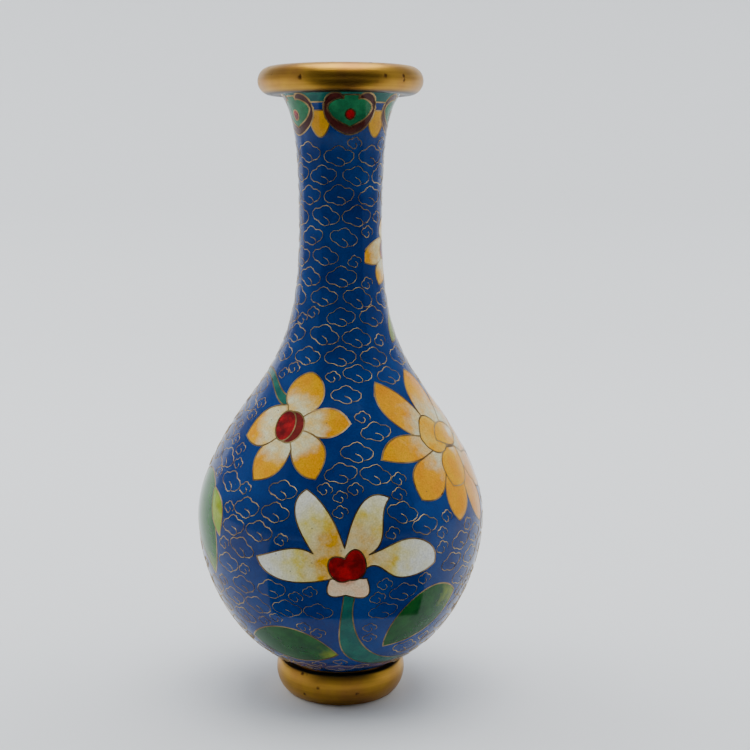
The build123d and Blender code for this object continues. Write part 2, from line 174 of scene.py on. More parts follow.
# Ground of the skin: glossy cobalt enamel, fired and polished flush with the wires. It is the
# outermost layer, so its outline is the vase's own, turned about the upright axis.
outline_parts = [
    [(13.0, 8.2), (28.590, 14.979), (34.9, 32.8), (34.9, 44.8)],
    [(34.9, 44.8), (34.9, 56.8), (24.327, 70.546), (20.8, 75.4)],
    [(20.8, 75.4), (13.747, 85.108), (9.85, 93.5), (9.85, 115.5)],
    [(9.85, 115.5), (9.85, 137.5), (11.644, 142.930), (14.4, 146.1)],
]
outline_steps = 160
outline_radius, outline_height, outline_out, outline_up = [], [], [], []
for start, leave, arrive, end in outline_parts:
    for step in range(outline_steps + 1):
        t = step / outline_steps
        weights = ((1 - t) ** 3, 3 * t * (1 - t) ** 2, 3 * t * t * (1 - t), t**3)
        slopes = (3 * (1 - t) ** 2, 6 * t * (1 - t), 3 * t * t)
        knots = (start, leave, arrive, end)
        across = sum(w * k[0] for w, k in zip(weights, knots))
        along = sum(w * k[1] for w, k in zip(weights, knots))
        run = sum(s * (knots[i + 1][0] - knots[i][0]) for i, s in enumerate(slopes))
        rise = sum(s * (knots[i + 1][1] - knots[i][1]) for i, s in enumerate(slopes))
        length = math.hypot(run, rise)
        outline_radius.append(across / 1000)
        outline_height.append(along / 1000)
        outline_out.append(rise / length)
        outline_up.append(-run / length)
skin_slack = 0.00025
merge_distance = 1e-6


def skin_radius(height):
    """Radius of the polished skin at a height."""
    return float(np.interp(height, outline_height, outline_radius))


def skin_normal(point):
    """Direction square to the skin at a point on it."""
    out = float(np.interp(point[2], outline_height, outline_out))
    up = float(np.interp(point[2], outline_height, outline_up))
    around = math.hypot(point[0], point[1])
    return Vector((out * point[0] / around, out * point[1] / around, up)).normalized()


def polished(node, material, proud=0.0):
    """A piece of the skin: the CAD node, merged, with its outer face laid exactly on the outline, or
    a hair proud of it, and shaded as one polished surface up to its wires."""
    bm = bmesh.new()
    bm.from_mesh(nodes[node].data)
    bmesh.ops.remove_doubles(bm, verts=bm.verts, dist=merge_distance)
    bmesh.ops.triangulate(bm, faces=bm.faces)
    mesh = bpy.data.meshes.new(node + "_polished")
    bm.to_mesh(mesh)
    bm.free()
    corners = np.empty(len(mesh.vertices) * 3)
    mesh.vertices.foreach_get("co", corners)
    corners = corners.reshape(-1, 3)
    around = np.hypot(corners[:, 0], corners[:, 1])
    radius = np.interp(corners[:, 2], outline_height, outline_radius)
    out = np.interp(corners[:, 2], outline_height, outline_out)
    up = np.interp(corners[:, 2], outline_height, outline_up)
    on_skin = np.abs((around - radius) * out) < skin_slack
    corners[on_skin, :2] *= ((radius + proud) / around)[on_skin, None]
    mesh.vertices.foreach_set("co", corners.ravel())
    square = np.column_stack((out * corners[:, 0] / around, out * corners[:, 1] / around, up))
    square /= np.linalg.norm(square, axis=1)[:, None]
    triangles = np.empty(len(mesh.loops), dtype=np.int32)
    mesh.loops.foreach_get("vertex_index", triangles)
    flat = np.empty(len(mesh.polygons) * 3)
    mesh.polygons.foreach_get("normal", flat)
    normals = np.repeat(flat.reshape(-1, 3), 3, axis=0)
    outer = np.repeat(on_skin[triangles].reshape(-1, 3).all(axis=1), 3)
    normals[outer] = square[triangles[outer]]
    mesh.polygons.foreach_set("use_smooth", [True] * len(mesh.polygons))
    mesh.normals_split_custom_set(normals.tolist())
    mesh.materials.append(material)
    piece = bpy.data.objects.new(node + "_polished", mesh)
    bpy.context.collection.objects.link(piece)
    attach(piece, "root")
    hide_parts(node)
    return piece


def group_socket(group, name, kind, side, value=None):
    """One named input or output of a shader node group."""
    socket = group.interface.new_socket(name=name, in_out=side, socket_type=kind)
    if value is not None:
        socket.default_value = value


def linked(tree, kind, inputs=None, **settings):
    """A node with its settings and inputs: an input is a value, or another node's output."""
    node = tree.nodes.new(kind)
    for key, value in settings.items():
        setattr(node, key, value)
    for key, value in (inputs or {}).items():
        if isinstance(value, bpy.types.NodeSocket):
            tree.links.new(value, node.inputs[key])
        else:
            node.inputs[key].default_value = value
    return node


# The enamel effect: cloudy drift between two colours, fine grain, and firing pits with dark bottoms.
enamel_effect = bpy.data.node_groups.new("enamel_effect", "ShaderNodeTree")
for socket_name, kind, value in (
    ("Vector", "NodeSocketVector", None),
    ("Colour", "NodeSocketColor", (0.02, 0.06, 0.4, 1)),
    ("Drift colour", "NodeSocketColor", (0.02, 0.1, 0.5, 1)),
    ("Drift scale", "NodeSocketFloat", 260.0),
    ("Drift share", "NodeSocketFloat", 0.6),
    ("Pit share", "NodeSocketFloat", 0.5),
    ("Roughness", "NodeSocketFloat", 0.08),
):
    group_socket(enamel_effect, socket_name, kind, "INPUT", value)
group_socket(enamel_effect, "Colour", "NodeSocketColor", "OUTPUT")
group_socket(enamel_effect, "Roughness", "NodeSocketFloat", "OUTPUT")
group_socket(enamel_effect, "Height", "NodeSocketFloat", "OUTPUT")
entry = linked(enamel_effect, "NodeGroupInput")
drift = linked(
    enamel_effect,
    "ShaderNodeTexNoise",
    {
        "Vector": entry.outputs["Vector"],
        "Scale": entry.outputs["Drift scale"],
        "Detail": 4.0,
        "Roughness": 0.6,
    },
)
drift_mask = linked(
    enamel_effect,
    "ShaderNodeMapRange",
    {"Value": drift.outputs["Fac"], "From Min": 0.38, "From Max": 0.66},
    clamp=True,
)
drift_amount = linked(
    enamel_effect,
    "ShaderNodeMath",
    {0: drift_mask.outputs["Result"], 1: entry.outputs["Drift share"]},
    operation="MULTIPLY",
)
drifted = linked(
    enamel_effect,
    "ShaderNodeMix",
    {0: drift_amount.outputs[0], 6: entry.outputs["Colour"], 7: entry.outputs["Drift colour"]},
    data_type="RGBA",
)
grain = linked(
    enamel_effect, "ShaderNodeTexNoise", {"Vector": entry.outputs["Vector"], "Scale": 2600.0, "Detail": 2.0}
)
grain_level = linked(
    enamel_effect,
    "ShaderNodeMapRange",
    {"Value": grain.outputs["Fac"], "From Min": 0.3, "From Max": 0.7, "To Min": 0.82, "To Max": 1.14},
)
grained = linked(
    enamel_effect,
    "ShaderNodeMix",
    {0: 1.0, 6: drifted.outputs[2], 7: grain_level.outputs["Result"]},
    data_type="RGBA",
    blend_type="MULTIPLY",
)
pits = linked(
    enamel_effect,
    "ShaderNodeTexVoronoi",
    {"Vector": entry.outputs["Vector"], "Scale": 620.0, "Randomness": 1.0},
)
pit_shape = linked(
    enamel_effect,
    "ShaderNodeMapRange",
    {"Value": pits.outputs["Distance"], "From Min": 0.04, "From Max": 0.17, "To Min": 1.0, "To Max": 0.0},
    clamp=True,
    interpolation_type="SMOOTHSTEP",
)
pit_pick = linked(enamel_effect, "ShaderNodeSeparateColor", {0: pits.outputs["Color"]})
pit_chosen = linked(
    enamel_effect,
    "ShaderNodeMath",
    {0: pit_pick.outputs[0], 1: entry.outputs["Pit share"]},
    operation="LESS_THAN",
)
pit_mask = linked(
    enamel_effect,
    "ShaderNodeMath",
    {0: pit_shape.outputs["Result"], 1: pit_chosen.outputs[0]},
    operation="MULTIPLY",
)
pit_dark = linked(enamel_effect, "ShaderNodeMath", {0: pit_mask.outputs[0], 1: 0.7}, operation="MULTIPLY")
pitted = linked(
    enamel_effect,
    "ShaderNodeMix",
    {0: pit_dark.outputs[0], 6: grained.outputs[2], 7: (0.012, 0.012, 0.02, 1)},
    data_type="RGBA",
)
rough = linked(
    enamel_effect,
    "ShaderNodeMath",
    {0: pit_mask.outputs[0], 1: 0.5, 2: entry.outputs["Roughness"]},
    operation="MULTIPLY_ADD",
)
swell = linked(
    enamel_effect, "ShaderNodeTexNoise", {"Vector": entry.outputs["Vector"], "Scale": 330.0, "Detail": 2.0}
)
depth = linked(
    enamel_effect,
    "ShaderNodeMath",
    {0: pit_mask.outputs[0], 1: -0.8, 2: swell.outputs["Fac"]},
    operation="MULTIPLY_ADD",
)
linked(
    enamel_effect,
    "NodeGroupOutput",
    {"Colour": pitted.outputs[2], "Roughness": rough.outputs[0], "Height": depth.outputs[0]},
)
enamel_gloss = 0.2
tone_raggedness = 1.6
tone_full, tone_gone = 0.3, 1.3


def enamel(
    name, colour, drift_colour, drift_scale=260.0, drift_share=0.7, pit_share=0.12, roughness=0.1, tones=()
):
    """An enamel colour. Each tone is a place in millimetres, a radius, a softness and a colour that
    the enamel takes around that place."""
    material, tree, shader = new_material(name)
    shader.inputs["Specular IOR Level"].default_value = enamel_gloss
    place = linked(tree, "ShaderNodeTexCoord").outputs["Object"]
    surface = (*colour, 1)
    warp = linked(tree, "ShaderNodeTexNoise", {"Vector": place, "Scale": 420.0, "Detail": 3.0})
    for centre, radius, softness, tone in tones:
        away = linked(
            tree,
            "ShaderNodeVectorMath",
            {0: place, 1: tuple(c / 1000 for c in centre)},
            operation="DISTANCE",
        )
        ragged = linked(
            tree,
            "ShaderNodeMath",
            {0: warp.outputs["Fac"], 1: softness / 1000 * tone_raggedness, 2: away.outputs["Value"]},
            operation="MULTIPLY_ADD",
        )
        near = linked(
            tree,
            "ShaderNodeMapRange",
            {
                "Value": ragged.outputs[0],
                "From Min": (radius + tone_full * softness) / 1000,
                "From Max": (radius + tone_gone * softness) / 1000,
                "To Min": 1.0,
                "To Max": 0.0,
            },
            clamp=True,
        )
        toned = linked(
            tree,
            "ShaderNodeMix",
            {0: near.outputs["Result"], 6: surface, 7: (*tone, 1)},
            data_type="RGBA",
        )
        surface = toned.outputs[2]
    effect = linked(
        tree,
        "ShaderNodeGroup",
        {
            "Vector": place,
            "Colour": surface,
            "Drift colour": (*drift_colour, 1),
            "Drift scale": drift_scale,
            "Drift share": drift_share,
            "Pit share": pit_share,
            "Roughness": roughness,
        },
        node_tree=enamel_effect,
    )
    bump = linked(
        tree,
        "ShaderNodeBump",
        {"Height": effect.outputs["Height"], "Strength": 0.12, "Distance": 0.00012},
    )
    tree.links.new(effect.outputs["Colour"], shader.inputs["Base Color"])
    tree.links.new(effect.outputs["Roughness"], shader.inputs["Roughness"])
    tree.links.new(bump.outputs["Normal"], shader.inputs["Normal"])
    return material


cobalt = enamel(
    "cobalt_enamel", (0.0004, 0.017, 0.115), (0.0005, 0.040, 0.185), drift_scale=95.0, pit_share=0.07
)
ground = polished("ground_enamel", cobalt)

# Cloud scrolls: short lengths of gilded flower wire, bent by hand into five-lobed clouds with an
# inward hook and set on edge in the cobalt, in staggered rows that keep clear of the flowers. Smaller
# curls fill the gaps that the rows leave.
brass_effect = bpy.data.node_groups.new("brass_effect", "ShaderNodeTree")
for socket_name, kind, value in (
    ("Vector", "NodeSocketVector", None),
    ("Colour", "NodeSocketColor", (0.8, 0.45, 0.15, 1)),
    ("Worn colour", "NodeSocketColor", (0.9, 0.62, 0.3, 1)),
    ("Stain colour", "NodeSocketColor", (0.10, 0.045, 0.015, 1)),
    ("Stain share", "NodeSocketFloat", 0.5),
    ("Streak scale", "NodeSocketFloat", 1500.0),
    ("Roughness", "NodeSocketFloat", 0.25),
):
    group_socket(brass_effect, socket_name, kind, "INPUT", value)
group_socket(brass_effect, "Colour", "NodeSocketColor", "OUTPUT")
group_socket(brass_effect, "Roughness", "NodeSocketFloat", "OUTPUT")
group_socket(brass_effect, "Height", "NodeSocketFloat", "OUTPUT")
entry = linked(brass_effect, "NodeGroupInput")
flattened = linked(
    brass_effect,
    "ShaderNodeVectorMath",
    {0: entry.outputs["Vector"], 1: (0.035, 0.035, 1.0)},
    operation="MULTIPLY",
)
streak = linked(
    brass_effect,
    "ShaderNodeTexNoise",
    {
        "Vector": flattened.outputs[0],
        "Scale": entry.outputs["Streak scale"],
        "Detail": 3.0,
        "Roughness": 0.65,
    },
)
tarnish = linked(
    brass_effect, "ShaderNodeTexNoise", {"Vector": entry.outputs["Vector"], "Scale": 190.0, "Detail": 5.0}
)
tarnish_mask = linked(
    brass_effect,
    "ShaderNodeMapRange",
    {"Value": tarnish.outputs["Fac"], "From Min": 0.4, "From Max": 0.68},
    clamp=True,
)
toned = linked(
    brass_effect,
    "ShaderNodeMix",
    {0: tarnish_mask.outputs["Result"], 6: entry.outputs["Colour"], 7: entry.outputs["Worn colour"]},
    data_type="RGBA",
)
streak_level = linked(
    brass_effect,
    "ShaderNodeMapRange",
    {"Value": streak.outputs["Fac"], "From Min": 0.3, "From Max": 0.7, "To Min": 0.8, "To Max": 1.12},
)
streaked = linked(
    brass_effect,
    "ShaderNodeMix",
    {0: 1.0, 6: toned.outputs[2], 7: streak_level.outputs["Result"]},
    data_type="RGBA",
    blend_type="MULTIPLY",
)
nicks = linked(
    brass_effect,
    "ShaderNodeTexVoronoi",
    {"Vector": entry.outputs["Vector"], "Scale": 310.0, "Randomness": 1.0},
)
nick_edge = linked(
    brass_effect, "ShaderNodeTexNoise", {"Vector": entry.outputs["Vector"], "Scale": 1400.0, "Detail": 2.0}
)
nick_reach = linked(
    brass_effect,
    "ShaderNodeMath",
    {0: nick_edge.outputs["Fac"], 1: 0.28, 2: nicks.outputs["Distance"]},
    operation="MULTIPLY_ADD",
)
nick_shape = linked(
    brass_effect,
    "ShaderNodeMapRange",
    {"Value": nick_reach.outputs[0], "From Min": 0.2, "From Max": 0.34, "To Min": 1.0, "To Max": 0.0},
    clamp=True,
)
nick_pick = linked(brass_effect, "ShaderNodeSeparateColor", {0: nicks.outputs["Color"]})
nick_chosen = linked(
    brass_effect,
    "ShaderNodeMath",
    {0: nick_pick.outputs[0], 1: entry.outputs["Stain share"]},
    operation="LESS_THAN",
)
nick_mask = linked(
    brass_effect,
    "ShaderNodeMath",
    {0: nick_shape.outputs["Result"], 1: nick_chosen.outputs[0]},
    operation="MULTIPLY",
)
nick_dark = linked(brass_effect, "ShaderNodeMath", {0: nick_mask.outputs[0], 1: 0.85}, operation="MULTIPLY")
stained = linked(
    brass_effect,
    "ShaderNodeMix",
    {0: nick_dark.outputs[0], 6: streaked.outputs[2], 7: entry.outputs["Stain colour"]},
    data_type="RGBA",
)
streak_rough = linked(
    brass_effect,
    "ShaderNodeMath",
    {0: streak.outputs["Fac"], 1: 0.16, 2: entry.outputs["Roughness"]},
    operation="MULTIPLY_ADD",
)
nick_rough = linked(
    brass_effect,
    "ShaderNodeMath",
    {0: nick_mask.outputs[0], 1: 0.4, 2: streak_rough.outputs[0]},
    operation="MULTIPLY_ADD",
)
nick_depth = linked(
    brass_effect,
    "ShaderNodeMath",
    {0: nick_mask.outputs[0], 1: -1.2, 2: streak.outputs["Fac"]},
    operation="MULTIPLY_ADD",
)
linked(
    brass_effect,
    "NodeGroupOutput",
    {"Colour": stained.outputs[2], "Roughness": nick_rough.outputs[0], "Height": nick_depth.outputs[0]},
)


def brass(
    name, colour, worn, stain_share=0.1, streak_scale=1500.0, roughness=0.22, relief=0.00003, bead_shade_heights=None
):
    """Gilded brass with fine turning streaks, tarnish and small dark nicks. The last argument is two heights
    in metres: below the first the brass is painted dark as shade under the rolled bead, clean above the
    second, and clean again below half the first, down at the foot."""
    material, tree, shader = new_material(name, metallic=1.0)
    place = linked(tree, "ShaderNodeTexCoord").outputs["Object"]
    effect = linked(
        tree,
        "ShaderNodeGroup",
        {
            "Vector": place,
            "Colour": (*colour, 1),
            "Worn colour": (*worn, 1),
            "Stain share": stain_share,
            "Streak scale": streak_scale,
            "Roughness": roughness,
        },
        node_tree=brass_effect,
    )
    bump = linked(
        tree, "ShaderNodeBump", {"Height": effect.outputs["Height"], "Strength": 0.5, "Distance": relief}
    )
    surface = effect.outputs["Colour"]
    # Painted shade: from the first height down to half of it, the brass is mixed towards near-black, fading
    # out by the second height.
    if bead_shade_heights:
        height = linked(tree, "ShaderNodeSeparateXYZ", {0: place})
        hidden = linked(
            tree,
            "ShaderNodeMapRange",
            {
                "Value": height.outputs["Z"],
                "From Min": bead_shade_heights[0],
                "From Max": bead_shade_heights[1],
                "To Min": 1.0,
                "To Max": 0.0,
            },
            clamp=True,
        )
        halfway = bead_shade_heights[0] / 2
        above_foot = linked(
            tree, "ShaderNodeMath", {0: height.outputs["Z"], 1: halfway}, operation="GREATER_THAN"
        )
        painted_shade = linked(
            tree,
            "ShaderNodeMath",
            {0: hidden.outputs["Result"], 1: above_foot.outputs[0]},
            operation="MULTIPLY",
        )
        darkened = linked(
            tree,
            "ShaderNodeMix",
            {0: painted_shade.outputs[0], 6: surface, 7: (0.02, 0.012, 0.008, 1)},
            data_type="RGBA",
        )
        surface = darkened.outputs[2]
    tree.links.new(surface, shader.inputs["Base Color"])
    tree.links.new(effect.outputs["Roughness"], shader.inputs["Roughness"])
    tree.links.new(bump.outputs["Normal"], shader.inputs["Normal"])
    return material


# The cloud wire is the same gilded wire as the flower wire, in a lighter copy: its brighter colour is
# painted sheen, as of lit wire.
wire_gilt = brass("flower_wire", (0.20, 0.12, 0.045), (0.52, 0.37, 0.17), stain_share=0.3, roughness=0.34)
cloud_gilt_painted_lit = brass("cloud_wire", (0.36, 0.24, 0.085), (0.58, 0.42, 0.17), stain_share=0.3, roughness=0.34)
wire_width = 0.00032
wire_sink = 0.00005
wire_rise = 0.00009
cloud_line = [
    (-0.4, -0.3), (0.6, -0.7), (1.1, -1.3), (1.0, -1.9), (0.2, -2.2), (-0.7, -2.0), (-1.6, -1.4),
    (-2.6, -1.2), (-3.3, -0.5), (-3.4, 0.3), (-2.7, 1.1), (-1.6, 1.3), (-0.9, 1.9), (0, 2.2),
    (0.8, 1.9), (1.4, 1.2), (2.5, 1.0), (3.3, 0.3), (3.2, -0.6), (2.4, -1.4), (1.3, -1.7),
]
short_line = [
    (0.1, 0), (0.5, -0.5), (0.3, -1.1), (-0.3, -1.3), (-0.9, -0.9), (-1.5, -0.6), (-1.7, 0), (-1.3, 0.6),
    (-0.8, 0.7), (-0.4, 1.2), (0.2, 1.3), (0.7, 0.8), (1.3, 0.6), (1.6, 0), (1.3, -0.6),
]


def wire_scroll(name, line):
    """A bent wire, drawn in millimetres: a three-sided bar along the line, its crest upwards."""
    points = [Vector((x / 1000, y / 1000, 0)) for x, y in line]
    vertices, lifts, faces = [], [], []
    for i, point in enumerate(points):
        ahead = points[min(i + 1, len(points) - 1)]
        behind = points[max(i - 1, 0)]
        way = (ahead - behind).normalized()
        side = Vector((-way.y, way.x, 0)) * wire_width / 2
        for offset, lift in ((side, -wire_sink), (Vector(), wire_rise), (-side, -wire_sink)):
            vertices.append(point + offset)
            lifts.append(lift)
    for i in range(len(points) - 1):
        a, b = 3 * i, 3 * i + 3
        faces += [(a, a + 1, b + 1, b), (a + 1, a + 2, b + 2, b + 1), (a + 2, a, b, b + 2)]
    last = 3 * (len(points) - 1)
    faces += [(0, 2, 1), (last, last + 1, last + 2)]
    scroll = mesh_object(name, vertices, faces)
    lift = scroll.data.attributes.new("lift", "FLOAT", "POINT")
    lift.data.foreach_set("value", lifts)
    for face in scroll.data.polygons:
        face.use_smooth = True
    return scroll


lay_wires = bpy.data.node_groups.new("lay_wires", "GeometryNodeTree")
for socket_name, kind, side in (
    ("Geometry", "NodeSocketGeometry", "INPUT"),
    ("Scroll", "NodeSocketObject", "INPUT"),
    ("Skin", "NodeSocketObject", "INPUT"),
    ("Scroll size", "NodeSocketFloat", "INPUT"),
    ("Material", "NodeSocketMaterial", "INPUT"),
    ("Geometry", "NodeSocketGeometry", "OUTPUT"),
):
    group_socket(lay_wires, socket_name, kind, side)
entry = linked(lay_wires, "NodeGroupInput")
scroll_shape = linked(lay_wires, "GeometryNodeObjectInfo", {"Object": entry.outputs["Scroll"]})
skin_shape = linked(lay_wires, "GeometryNodeObjectInfo", {"Object": entry.outputs["Skin"]})
turn = linked(lay_wires, "GeometryNodeInputNamedAttribute", {"Name": "turn"}, data_type="FLOAT_VECTOR")
rotation = linked(lay_wires, "FunctionNodeEulerToRotation", {"Euler": turn.outputs["Attribute"]})
size = linked(lay_wires, "GeometryNodeInputNamedAttribute", {"Name": "size"}, data_type="FLOAT")
scaled = linked(
    lay_wires,
    "ShaderNodeMath",
    {0: size.outputs["Attribute"], 1: entry.outputs["Scroll size"]},
    operation="MULTIPLY",
)
placed = linked(
    lay_wires,
    "GeometryNodeInstanceOnPoints",
    {
        "Points": entry.outputs["Geometry"],
        "Instance": scroll_shape.outputs["Geometry"],
        "Rotation": rotation.outputs[0],
        "Scale": scaled.outputs[0],
    },
)
realized = linked(lay_wires, "GeometryNodeRealizeInstances", {"Geometry": placed.outputs[0]})
where = linked(lay_wires, "GeometryNodeInputPosition")
nearest = linked(
    lay_wires, "GeometryNodeProximity", {0: skin_shape.outputs["Geometry"]}, target_element="FACES"
)
lay_wires.links.new(where.outputs[0], nearest.inputs["Sample Position"])
outward = linked(lay_wires, "GeometryNodeInputNamedAttribute", {"Name": "outward"}, data_type="FLOAT_VECTOR")
lift = linked(lay_wires, "GeometryNodeInputNamedAttribute", {"Name": "lift"}, data_type="FLOAT")
raised = linked(lay_wires, "ShaderNodeVectorMath", {0: outward.outputs["Attribute"]}, operation="SCALE")
lay_wires.links.new(lift.outputs["Attribute"], raised.inputs["Scale"])
laid = linked(
    lay_wires,
    "ShaderNodeVectorMath",
    {0: nearest.outputs["Position"], 1: raised.outputs[0]},
    operation="ADD",
)
bent = linked(
    lay_wires, "GeometryNodeSetPosition", {"Geometry": realized.outputs[0], "Position": laid.outputs[0]}
)
finished = linked(
    lay_wires,
    "GeometryNodeSetMaterial",
    {"Geometry": bent.outputs[0], "Material": entry.outputs["Material"]},
)
linked(lay_wires, "NodeGroupOutput", {"Geometry": finished.outputs[0]})

plain_nodes = ("ground_enamel", "lining_enamel", "base_enamel", "lower_bowl", "shoulder_dome", "neck_tube")
motif_corners, motif_faces = [], []
for node_name, node in nodes.items():
    if node_name in plain_nodes:
        continue
    first = len(motif_corners)
    motif_corners += [v.co.copy() for v in node.data.vertices]
    motif_faces += [tuple(first + i for i in p.vertices) for p in node.data.polygons]
motif_tree = BVHTree.FromPolygons(motif_corners, motif_faces)

cloud_scale = 1.13
cloud_half_width = 0.0034 * cloud_scale
cloud_half_height = 0.0023 * cloud_scale
cloud_pitch = 0.0082
row_height = 0.0047
short_share = 0.5
cloud_clearance = 0.00024
cloud_nesting = 0.94
clearance_rings, clearance_spokes = (0.0, 0.5, 1.0), 14
lean_limit = 13
size_least, size_most = 0.9, 1.02
row_first, row_last = 0.0112, 0.1343
arc_length = [0.0]
for i in range(1, len(outline_radius)):
    step = math.hypot(outline_radius[i] - outline_radius[i - 1], outline_height[i] - outline_height[i - 1])
    arc_length.append(arc_length[-1] + step)


def beside(height, azimuth, across, along):
    """A point on the skin, beside another by a distance around and a distance up the skin."""
    reached = float(np.interp(height, outline_height, arc_length)) + along
    level = float(np.interp(reached, arc_length, outline_height))
    around = azimuth + across / skin_radius(level)
    return Vector((skin_radius(level) * math.sin(around), -skin_radius(level) * math.cos(around), level))


def clear_of_motifs(height, azimuth, share):
    """Whether a cloud of a share of the full size fits there."""
    for ring in clearance_rings:
        for spoke in range(clearance_spokes):
            turned = 2 * math.pi * spoke / clearance_spokes
            across = share * ring * cloud_half_width * math.cos(turned)
            along = share * ring * cloud_half_height * math.sin(turned)
            if motif_tree.find_nearest(beside(height, azimuth, across, along))[3] < cloud_clearance:
                return False
    return True


hand = random.Random(7)
full_clouds, short_clouds, taken = [], [], []


def clear_of_clouds(spot, share):
    """Whether a cloud of a share of the full size keeps off the clouds already set."""
    radius = math.hypot(spot.x, spot.y)
    reached = float(np.interp(spot.z, outline_height, arc_length))
    for azimuth, length, other_share in taken:
        along = (reached - length) / cloud_half_height
        if abs(along) < share + other_share:
            turned = (math.atan2(spot.x, -spot.y) - azimuth + math.pi) % (2 * math.pi) - math.pi
            across = turned * radius / cloud_half_width
            if math.hypot(across, along) < (share + other_share) * cloud_nesting:
                return False
    return True


def set_cloud(height, azimuth, cloud_set, share, slips):
    """Sets a cloud at the place, slid by the first of the slips with which it fits."""
    lean = math.radians(hand.uniform(-lean_limit, lean_limit))
    size = hand.uniform(size_least, size_most)
    for slip in slips:
        spot = beside(height, azimuth, *slip)
        slid = math.atan2(spot.x, -spot.y)
        inside = row_first <= spot.z <= row_last
        if inside and clear_of_clouds(spot, share) and clear_of_motifs(spot.z, slid, share):
            cloud_set.append((spot.z, slid, lean, size))
            taken.append((slid, float(np.interp(spot.z, outline_height, arc_length)), share))
            return


row_slips = [(0, 0), (0.0011, 0), (-0.0011, 0), (0, 0.0009), (0, -0.0009), (0.002, 0), (-0.002, 0)]
across_wander, up_wander = 0.0004, 0.0003
least_in_row = 5
first_reach, last_reach = (float(np.interp(h, outline_height, arc_length)) for h in (row_first, row_last))
for row in range(int((last_reach - first_reach) / row_height) + 1):
    level = float(np.interp(first_reach + row * row_height, arc_length, outline_height))
    count = max(least_in_row, round(2 * math.pi * skin_radius(level) / cloud_pitch))
    for column in range(count):
        azimuth = 2 * math.pi * (column + (row % 2) / 2) / count
        azimuth += hand.uniform(-across_wander, across_wander) / skin_radius(level)
        height = level + hand.uniform(-up_wander, up_wander)
        set_cloud(height, azimuth, full_clouds, 1.0, row_slips)
gap_step = 0.0017
for row in range(int((last_reach - first_reach) / gap_step) + 1):
    level = float(np.interp(first_reach + row * gap_step, arc_length, outline_height))
    count = round(2 * math.pi * skin_radius(level) / gap_step)
    for column in range(count):
        set_cloud(level, 2 * math.pi * column / count, short_clouds, short_share, [(0, 0)])

for scroll_name, line, spots in (
    ("cloud_wires", cloud_line, full_clouds),
    ("short_cloud_wires", short_line, short_clouds),
):
    scroll = wire_scroll(scroll_name + "_scroll", line)
    seeds = mesh_object(scroll_name + "_seeds", [beside(h, a, 0, 0) for h, a, _, _ in spots], [])
    turns, outwards, sizes = [], [], []
    for height, azimuth, lean, size in spots:
        out = skin_normal(beside(height, azimuth, 0, 0))
        around = Vector((math.cos(azimuth), math.sin(azimuth), 0))
        upward = out.cross(around)
        facing = Matrix((around, upward, out)).transposed() @ Matrix.Rotation(lean, 3, "Z")
        turns += list(facing.to_euler())
        outwards += list(out)
        sizes.append(size)
    for name, kind, field, values in (
        ("turn", "FLOAT_VECTOR", "vector", turns),
        ("outward", "FLOAT_VECTOR", "vector", outwards),
        ("size", "FLOAT", "value", sizes),
    ):
        seeds.data.attributes.new(name, kind, "POINT").data.foreach_set(field, values)
    modifier = seeds.modifiers.new("lay_wires", "NODES")
    modifier.node_group = lay_wires
    sockets = {
        item.name: item.identifier for item in lay_wires.interface.items_tree if item.in_out == "INPUT"
    }
    modifier[sockets["Scroll"]] = scroll
    modifier[sockets["Skin"]] = ground
    modifier[sockets["Scroll size"]] = cloud_scale
    modifier[sockets["Material"]] = cloud_gilt_painted_lit
    depsgraph = bpy.context.evaluated_depsgraph_get()
    mesh = bpy.data.meshes.new_from_object(seeds.evaluated_get(depsgraph))
    mesh.name = scroll_name
    seeds.modifiers.remove(modifier)
    bpy.data.objects.remove(seeds)
    bpy.data.objects.remove(scroll)
    clouds = bpy.data.objects.new(scroll_name, mesh)
    bpy.context.collection.objects.link(clouds)
    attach(clouds, "root")

# Flower wire around every motif and along the strip under the rim: flat copper ribbon on edge, bent
# to the drawing, fired into the enamel, then ground flush, gilded and left a hair proud.
wire_proud = 0.00003
for name in nodes:
    if name.endswith("_wires"):
        wires = polished(name, wire_gilt, wire_proud)


# Orchid at the front: white petals that turn yellow towards a dark red heart, a cream lip below it,
# and a teal root. Each colour is packed wet between its wires, so neighbours drift into each other.
def skin_place(azimuth, height, across=0.0, along=0.0):
    """A place on the skin in millimetres, beside a motif's own place."""
    turned = math.radians(azimuth)
    level = height + along
    radius = skin_radius(level / 1000) * 1000
    turned += math.asin(max(-1, min(1, across / radius)))
    return (radius * math.sin(turned), -radius * math.cos(turned), level)


def coloured(name, material):
    """Gives a cell of the skin its enamel."""
    polished(name, material)


orchid_at = (2.0, 41.0)
orchid_white = enamel(
    "orchid_white", (0.64, 0.65, 0.60), (0.62, 0.60, 0.36), drift_scale=230.0, pit_share=0.16,
    tones=[
        (skin_place(*orchid_at, 0, 1.5), 13.6, 6.0, (0.58, 0.50, 0.09)),
        (skin_place(*orchid_at, 0.5, 1.5), 9.6, 4.5, (0.55, 0.27, 0.001)),
    ],
)
dark_red = enamel("dark_red", (0.10, 0.002, 0.003), (0.38, 0.006, 0.010), drift_scale=330.0, drift_share=0.9)
lip_cream = enamel(
    "lip_cream", (0.66, 0.52, 0.34), (0.72, 0.42, 0.22), drift_scale=420.0,
    tones=[(skin_place(*orchid_at, 0, -2), 1.6, 2.0, (0.45, 0.10, 0.05))],
)
teal = enamel("teal_enamel", (0.004, 0.07, 0.06), (0.01, 0.14, 0.09), drift_scale=330.0)
coloured("orchid_petals", orchid_white)
coloured("orchid_heart", dark_red)
coloured("orchid_lip", lip_cream)
coloured("orchid_root", teal)

